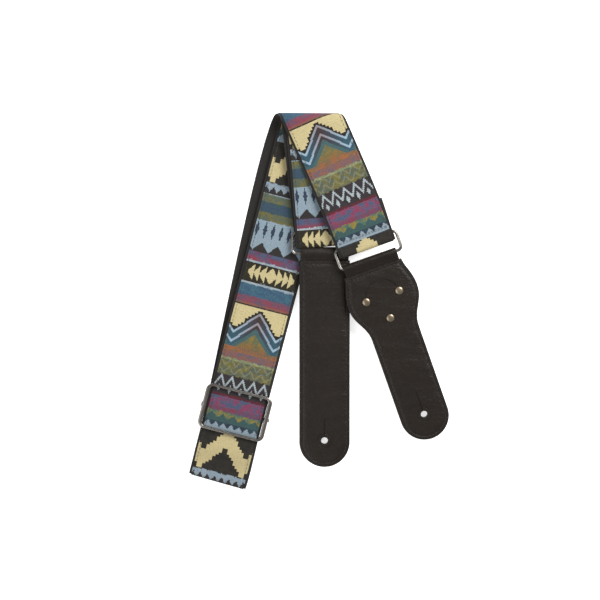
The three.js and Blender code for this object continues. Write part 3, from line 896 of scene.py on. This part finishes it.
# ---- rings and slider -----------------------------------------------------------------------------
def rounded_loop(half_x, half_y, corner, angle):
    """A point of a rounded rectangle at an angle round it, and the way outwards there."""
    quarter = int(angle // (math.pi / 2)) % 4
    sign_x = 1 if quarter in (0, 3) else -1
    sign_y = 1 if quarter < 2 else -1
    out = np.array([math.cos(angle), math.sin(angle)])
    return np.array([sign_x * (half_x - corner), sign_y * (half_y - corner)]) + corner * out, out


def bar_loop(half_x, half_y, corner, thick_x, thick_y, height, squareness):
    """A closed loop of bar: a torus laid onto a rounded rectangle, with a rounded square section."""
    major = 64
    minor = 20
    deselect()
    bpy.ops.mesh.primitive_torus_add(major_radius=4.0, minor_radius=1.0, major_segments=major,
                                     minor_segments=minor)
    loop = bpy.context.object
    places = []
    for x, y, z in points_of(loop):
        turn = math.atan2(y, x) % (2 * math.pi)
        around = math.atan2(z, math.hypot(x, y) - 4.0)
        centre, out = rounded_loop(half_x, half_y, corner, turn + 1e-6)
        wide = thick_y + (thick_x - thick_y) * abs(out[0]) ** 2
        power = 2.0 / squareness
        cosine, sine = math.cos(around), math.sin(around)
        reach = math.copysign(abs(cosine) ** power, cosine) * wide / 2
        rise = math.copysign(abs(sine) ** power, sine) * height / 2
        places.append((*(centre + out * reach), rise))
    move_points(loop, places)
    smooth(loop, 60.0)
    return loop


def make_ring(letter, matrix, offset, metal):
    half_x = RING_WIDTH / 2 - WIRE_RADIUS
    ring = bar_loop(half_x, RING_SPACING / 2, RING_CORNER, 2 * WIRE_RADIUS, 2 * WIRE_RADIUS,
                    2 * WIRE_RADIUS, 2.0)
    lift = Matrix.Translation((offset, RING_SPACING / 2, 0))
    settle(ring, f"wire_ring_{letter}", f"ring_{letter}", metal, [f"ring_{letter}"], matrix @ lift)


def filled_outline(points, low, high):
    """A plate from an outline: a circle's vertices moved onto it, then extruded up."""
    deselect()
    bpy.ops.mesh.primitive_circle_add(vertices=len(points), radius=1.0, fill_type="NGON")
    plate = bpy.context.object
    move_points(plate, [(x, y, low) for x, y in points])
    bpy.ops.object.mode_set(mode="EDIT")
    bpy.ops.mesh.select_all(action="SELECT")
    bpy.ops.mesh.extrude_region_move(TRANSFORM_OT_translate={"value": (0, 0, high - low)})
    bpy.ops.mesh.select_all(action="SELECT")
    bpy.ops.mesh.normals_make_consistent(inside=False)
    bpy.ops.object.mode_set(mode="OBJECT")
    return plate


def make_slider(metal):
    half_x = SLIDER_WIDTH / 2 - SLIDER_RAIL / 2
    half_y = SLIDER_LENGTH / 2 - SLIDER_END_BAR / 2
    loop = bar_loop(half_x, half_y, SLIDER_CORNER - 1.4, SLIDER_RAIL, SLIDER_END_BAR, SLIDER_END_BAR, 3.0)
    loop.data.transform(Matrix.Translation((0, 0, SLIDER_FRAME_Z)))
    top = SLIDER_FRAME_Z + SLIDER_END_BAR / 2 - 0.25
    below = [(SLIDER_LUG * math.cos(a), SLIDER_BAR_Z + SLIDER_LUG * math.sin(a))
             for a in np.linspace(math.pi, 2 * math.pi, 17)]
    outline = [*below, (SLIDER_LUG + 3, top), (-SLIDER_LUG - 3, top)]
    turn = Matrix(((0, 0, 1, 0), (1, 0, 0, 0), (0, 1, 0, 0), (0, 0, 0, 1)))
    pieces = [loop]
    for side in (-1, 1):
        lug = filled_outline(outline, -SLIDER_RAIL / 2 + 0.1, SLIDER_RAIL / 2 - 0.1)
        apply_modifier(lug, "BEVEL", width=0.5, segments=3, limit_method="ANGLE", angle_limit=SHARP)
        lug.data.transform(Matrix.Translation((side * half_x, 0, 0)) @ turn)
        smooth(lug)
        pieces.append(lug)
    for piece, name in zip(pieces, ("slider_frame_bars", "slider_lug_left", "slider_lug_right")):
        settle(piece, name, "slider", metal, ["slider_frame"], SLIDER_FRAME)


def make_centre_bar(metal):
    head = SLIDER_WIDTH / 2 + 0.3
    end = SLIDER_BAR_LENGTH / 2
    deselect()
    bpy.ops.mesh.primitive_cylinder_add(vertices=28, radius=WIRE_RADIUS, depth=2 * head)
    bar = bpy.context.object
    bpy.ops.object.mode_set(mode="EDIT")
    bpy.ops.mesh.select_mode(type="FACE")
    for side in (-1, 1):
        bpy.ops.mesh.select_all(action="DESELECT")
        bpy.ops.object.mode_set(mode="OBJECT")
        for face in bar.data.polygons:
            face.select = face.normal.z * side > 0.9
        bpy.ops.object.mode_set(mode="EDIT")
        for grow, out in ((1.5, 0.0), (1.0, end - head - 0.3), (0.7, 0.3)):
            bpy.ops.mesh.extrude_region_move(TRANSFORM_OT_translate={"value": (0, 0, side * out)})
            bpy.ops.transform.resize(value=(grow, grow, 1.0))
    bpy.ops.object.mode_set(mode="OBJECT")
    turn = Matrix.Translation((0, 0, SLIDER_BAR_Z)) @ Matrix.Rotation(math.pi / 2, 4, "Y")
    smooth(bar, 50.0)
    settle(bar, "loose_centre_bar", "slider_bar", metal, ["slider_center_bar"], SLIDER_FRAME @ turn)


# ---- leather tabs ---------------------------------------------------------------------------------
def bezier(a, b, c, d, steps):
    a, b, c, d = (np.array(p, float) for p in (a, b, c, d))
    return [a * (1 - t) ** 3 + 3 * b * t * (1 - t) ** 2 + 3 * c * t * t * (1 - t) + d * t ** 3
            for t in np.arange(steps) / steps]


def tip_arc(half, tip, steps=40):
    turns = np.linspace(math.pi, 2 * math.pi, steps)
    return [(half * math.cos(a), tip + half + half * math.sin(a)) for a in turns]


def straight(a, b, steps):
    return [np.array(a) + (np.array(b) - np.array(a)) * t for t in np.arange(steps) / steps]


def plain_outline(size, inset, top):
    half = size["half"] - inset
    tip = size["tip"] + inset
    points = [*straight((-half, top), (-half, tip + half), 24), *tip_arc(half, tip)]
    points.extend(straight((half, tip + half), (half, top), 24)[1:])
    points.extend(straight((half, top), (-half, top), 12))
    return points


def shoulder_outline(size, inset, top):
    neck = size["half"] - inset
    tip = size["tip"] + inset
    shoulder = TAB_B_SHOULDER - inset
    end = TAB_B_END - inset
    neck_top = TAB_B_NECK_TOP
    shoulder_at = TAB_B_SHOULDER_AT
    left = [
        *bezier((-end, top), (-end - 0.5, top - 8), (-shoulder, shoulder_at + 12),
                (-shoulder, shoulder_at), 14),
        *bezier((-shoulder, shoulder_at), (-shoulder, shoulder_at - 14), (-neck, neck_top + 14),
                (-neck, neck_top), 14),
        *straight((-neck, neck_top), (-neck, tip + neck), 14),
    ]
    right = [(-x, y) for x, y in reversed(left)]
    points = [*left, *tip_arc(neck, tip), *right]
    points.extend(straight((end, top), (-end, top), 12)[1:])
    return points


def layered_panel(outline_at, layers):
    """A panel from one outline: its face is extruded layer by layer, each with its own inset and level."""
    inset, level = layers[0]
    below = np.array([tuple(point) for point in outline_at(inset)])
    deselect()
    bpy.ops.mesh.primitive_circle_add(vertices=len(below), radius=1.0, fill_type="NGON")
    panel = bpy.context.object
    move_points(panel, [(x, y, level) for x, y in below])
    for inset, level in layers[1:]:
        outline = np.array([tuple(point) for point in outline_at(inset)])
        bpy.ops.object.mode_set(mode="EDIT")
        bpy.ops.mesh.extrude_region_move(TRANSFORM_OT_translate={"value": (0, 0, 0.01)})
        bpy.ops.object.mode_set(mode="OBJECT")
        for vertex in panel.data.vertices:
            if vertex.select:
                nearest = np.argmin(np.hypot(*(below - np.array(vertex.co[:2])).T))
                vertex.co = (*outline[nearest], level)
        below = outline
    bpy.ops.object.mode_set(mode="EDIT")
    bpy.ops.mesh.select_all(action="SELECT")
    bpy.ops.mesh.normals_make_consistent(inside=False)
    bpy.ops.object.mode_set(mode="OBJECT")
    return panel


def skived_layers(low, high, rounding, seam, crown):
    """Layers of a cut leather edge: a square foot, a rounded shoulder, a sunk seam and a slight crown."""
    layers = [(0.0, low)]
    for turn in np.linspace(0, math.pi / 2, 6):
        layers.append((rounding * (1 - math.cos(turn)), high - rounding + rounding * math.sin(turn)))
    sunk = 0.25
    layers.extend([(seam - 0.5, high), (seam - 0.2, high - sunk), (seam + 0.2, high - sunk),
                   (seam + 0.6, high), (seam + 2.0, high + crown * 0.6), (seam + 5.0, high + crown)])
    return layers


def cut(piece, cutter):
    active(piece)
    modifier = piece.modifiers.new("cut", "BOOLEAN")
    modifier.operation = "DIFFERENCE"
    modifier.solver = "EXACT"
    modifier.object = cutter
    bpy.ops.object.modifier_apply(modifier=modifier.name)
    bpy.data.objects.remove(cutter)


def button_hole(size, slit):
    """The cutter for a button hole, with a closed slit above it where the panel has one."""
    if not slit:
        return disc_hole((0.0, size["hole"]), BUTTON_HOLE_RADIUS, -6.0, 8.0)
    half = SLIT_WIDTH / 2
    meet = math.asin(half / BUTTON_HOLE_RADIUS)
    around = np.linspace(math.pi / 2 + meet, math.pi * 2.5 - meet, 36)
    outline = [(BUTTON_HOLE_RADIUS * math.cos(a), size["hole"] + BUTTON_HOLE_RADIUS * math.sin(a))
               for a in around]
    return filled_outline([(half, size["slit_top"]), (-half, size["slit_top"]), *outline], -6.0, 8.0)


def pressed_ring(size):
    """The cutter for the shallow ring that a strap button has pressed round its hole."""
    deselect()
    bpy.ops.mesh.primitive_torus_add(major_radius=5.8, minor_radius=0.55, major_segments=48, minor_segments=10,
                                     location=(0, size["hole"], TAB_FRONT[1] + 0.2))
    return bpy.context.object


def disc_hole(spot, radius, low, high):
    outline = [(spot[0] + radius * math.cos(a), spot[1] + radius * math.sin(a))
               for a in np.linspace(0, 2 * math.pi, 25)[:-1]]
    return filled_outline(outline, low, high)


def pocket_mouth():
    """The crescent cutter of the pick pocket's mouth."""
    y = RIVETS["left"][1]
    outer = [(PICK_SLOT_RADIUS * 1.02 * math.cos(a), y + PICK_SLOT_RADIUS * 1.02 * math.sin(a))
             for a in np.linspace(math.radians(16), math.radians(164), 40)]
    inner = [(PICK_SLOT_RADIUS * 0.97 * math.cos(a), y - 0.4 + PICK_SLOT_RADIUS * 0.9 * math.sin(a))
             for a in np.linspace(math.radians(162), math.radians(18), 40)]
    return filled_outline([*outer, *inner], TAB_FRONT[1] - 0.75, TAB_FRONT[1] + 3)


def outline_stitches(outline, inset_by, height, spacing, matrix):
    """Stitch places along a line inside an outline, as frames for scatter_stitches."""
    points = np.array([np.array(p, float) for p in outline])
    closed = np.vstack([points, points[:1]])
    steps = np.linalg.norm(np.diff(closed, axis=0), axis=1)
    reached = np.concatenate([[0], np.cumsum(steps)])
    frames = []
    for place in np.arange(spacing / 2, reached[-1], spacing):
        x = np.interp(place, reached, closed[:, 0])
        y = np.interp(place, reached, closed[:, 1])
        ahead = np.array([np.interp((place + 0.6) % reached[-1], reached, closed[:, k]) for k in (0, 1)])
        behind = np.array([np.interp((place - 0.6) % reached[-1], reached, closed[:, k]) for k in (0, 1)])
        way = (ahead - behind) / np.linalg.norm(ahead - behind)
        inside = np.array([-way[1], way[0]]) * inset_by
        point = matrix @ Vector((x + inside[0], y + inside[1], height))
        middle = np.array(point) / MM - ORIGIN_SHIFT
        turn = matrix.to_3x3()
        tangent = np.array((turn @ Vector((way[0], way[1], 0))).normalized())
        normal = np.array((turn @ Vector((0, 0, 1))).normalized())
        frames.append((middle, normal, tangent, np.cross(normal, tangent)))
    return frames


def turn_over(panel):
    """Mirrors a panel so that its good side faces down."""
    panel.data.transform(Matrix.Scale(-1, 4, (0, 0, 1)))
    active(panel)
    bpy.ops.object.mode_set(mode="EDIT")
    bpy.ops.mesh.select_all(action="SELECT")
    bpy.ops.mesh.normals_make_consistent(inside=False)
    bpy.ops.object.mode_set(mode="OBJECT")


def make_loop(letter, width, stretch, matrix, leather):
    bend = [(LEATHER_LOOP_RADIUS * math.cos(a) * (stretch if math.cos(a) > 0 else 1.0),
             LEATHER_LOOP_RADIUS * math.sin(a)) for a in np.linspace(math.radians(-125), math.radians(125), 25)]
    lower = smooth_line([(TAIL_END, -TAIL_MIDDLE), (-14, -TAIL_MIDDLE), (-6.5, -TAIL_MIDDLE), bend[0]], 4)
    upper = smooth_line([bend[-1], (-6.5, TAIL_MIDDLE), (-14, TAIL_MIDDLE), (TAIL_END, TAIL_MIDDLE)], 4)
    strip = bent_strip([*lower[:-1], *bend, *upper[1:]], width, 1.0, 10)
    settle(strip, f"tab_{letter}_leather_loop", f"tab_{letter}", leather,
           [f"tab_{letter}_ring_loop"], matrix)


def make_tab(letter, size, outline_of, width, matrix, leather, back_leather, core, thread):
    body = f"tab_{letter}"

    def outline_at(inset):
        return outline_of(size, inset, size["front"] - inset)

    outline = outline_at(0.0)
    low, high = TAB_FRONT[0] - 0.2, TAB_FRONT[1] - 0.35
    front = layered_panel(outline_at, skived_layers(low, high, 0.8, FRONT_SEAM, 0.35))
    cut(front, button_hole(size, True))
    cut(front, pressed_ring(size))
    low, high = -TAB_BACK[1] - 0.1, -TAB_BACK[0] - 0.05
    back = layered_panel(outline_at, skived_layers(low, high, 0.6, BACK_SEAM, 0.0))
    turn_over(back)
    cut(back, button_hole(size, True))
    middle = layered_panel(lambda inset: outline_of(size, inset, size["front"] - 0.5 - inset),
                           [(0.7, TAB_BACK[1] + 0.12), (0.7, TAB_FRONT[0] - 0.22)])
    cut(middle, button_hole(size, False))
    near, far = LOOP_POCKET
    pocket = [(width / 2, near), (-width / 2, near), (-width / 2, far), (width / 2, far)]
    cut(middle, filled_outline(pocket, -POCKET_HALF, POCKET_HALF))
    if letter == "b":
        cut(front, pocket_mouth())
        for spot in RIVETS.values():
            for layer in (front, back, middle):
                cut(layer, disc_hole(spot, RIVET_HOLE, -6.0, 8.0))
    for piece in (front, back, middle):
        smooth(piece, 35.0)
    settle(front, f"tab_{letter}_top_leather", body, leather,
           [f"tab_{letter}_front_leather"], matrix)
    settle(back, f"tab_{letter}_under_leather", body, back_leather,
           [f"tab_{letter}_back_leather"], matrix)
    settle(middle, f"tab_{letter}_filler", body, core, [f"tab_{letter}_core"], matrix)
    for name, inset, level in (("seam", FRONT_SEAM, TAB_FRONT[1] - 0.5),
                               ("under", BACK_SEAM, TAB_BACK[0] + 0.2)):
        seam = outline_stitches(outline, inset, level, STITCH_PITCH, matrix)
        settle(scatter_stitches(seam, 0.0, STITCH_LENGTH), f"tab_{letter}_{name}_thread", body,
               thread, [])


# ---- rivets ---------------------------------------------------------------------------------------
def domed_head(radius, height, rim):
    """A domed rivet head: half a sphere pressed flat, with a rolled rim."""
    deselect()
    bpy.ops.mesh.primitive_uv_sphere_add(segments=32, ring_count=16, radius=1.0)
    head = bpy.context.object
    places = points_of(head)
    dome = np.maximum(places[:, 2], 0.0) ** 0.8 * (height - rim)
    edge = rim * np.clip((places[:, 2] + 0.3) / 0.3, 0, 1)
    places[:, :2] *= radius * np.where(places[:, 2] > 0, 1.0, 0.97)[:, None]
    places[:, 2] = np.where(places[:, 2] < -0.3, 0.0, dome + edge)
    move_points(head, places)
    smooth(head, 50.0)
    return head


def make_rivets(metal):
    for name, (x, y) in RIVETS.items():
        cap = domed_head(3.5, 1.7, 0.35)
        settle(cap, f"rivet_head_{name}", "tab_b", metal, [f"rivet_cap_{name}"],
               TAB_B_FRAME @ Matrix.Translation((x, y, TAB_FRONT[1] + RIVET_GAP)))
        foot = domed_head(3.0, 0.9, 0.3)
        settle(foot, f"rivet_burr_{name}", "tab_b", metal, [f"rivet_foot_{name}"],
               TAB_B_FRAME @ Matrix.Translation((x, y, TAB_BACK[0] - RIVET_GAP))
               @ Matrix.Rotation(math.pi, 4, "X"))
        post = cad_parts[f"rivet_post_{name}"]
        post.data.materials.clear()
        post.data.materials.append(metal)


# ---- the strap ------------------------------------------------------------------------------------
def main():
    make_camera()
    make_stage()
    webbing = webbing_material()
    thread = thread_material()
    jacquard = Jacquard("jacquard_ribbon_cloth").finish()
    leather = leather_material("black_brown_leather", (11, 9, 7), (27, 21, 16), 0.27)
    back_leather = leather_material("suede_back", (26, 23, 20), (42, 37, 32), 0.62)
    core = core_material()
    gunmetal = metal_material("gunmetal", (92, 89, 85), (138, 134, 129), 0.14)
    pewter = metal_material("antique_pewter", (104, 93, 76), (150, 138, 118), 0.26)
    make_webbing(webbing, jacquard, thread)
    make_sewn_end(webbing)
    make_slider(gunmetal)
    make_centre_bar(gunmetal)
    make_ring("a", RING_A_FRAME, 0.0, gunmetal)
    make_ring("b", RING_B_FRAME, RING_B_OFFSET, gunmetal)
    make_loop("a", 40.9, 1.75, TAB_A_FRAME, leather)
    make_loop("b", 47.5, 1.0, TAB_B_FRAME, leather)
    make_tab("a", TAB_A, plain_outline, 42.0, TAB_A_FRAME, leather, back_leather, core, thread)
    make_tab("b", TAB_B, shoulder_outline, 49.0, TAB_B_FRAME, leather, back_leather, core, thread)
    make_rivets(pewter)
    deselect()


main()
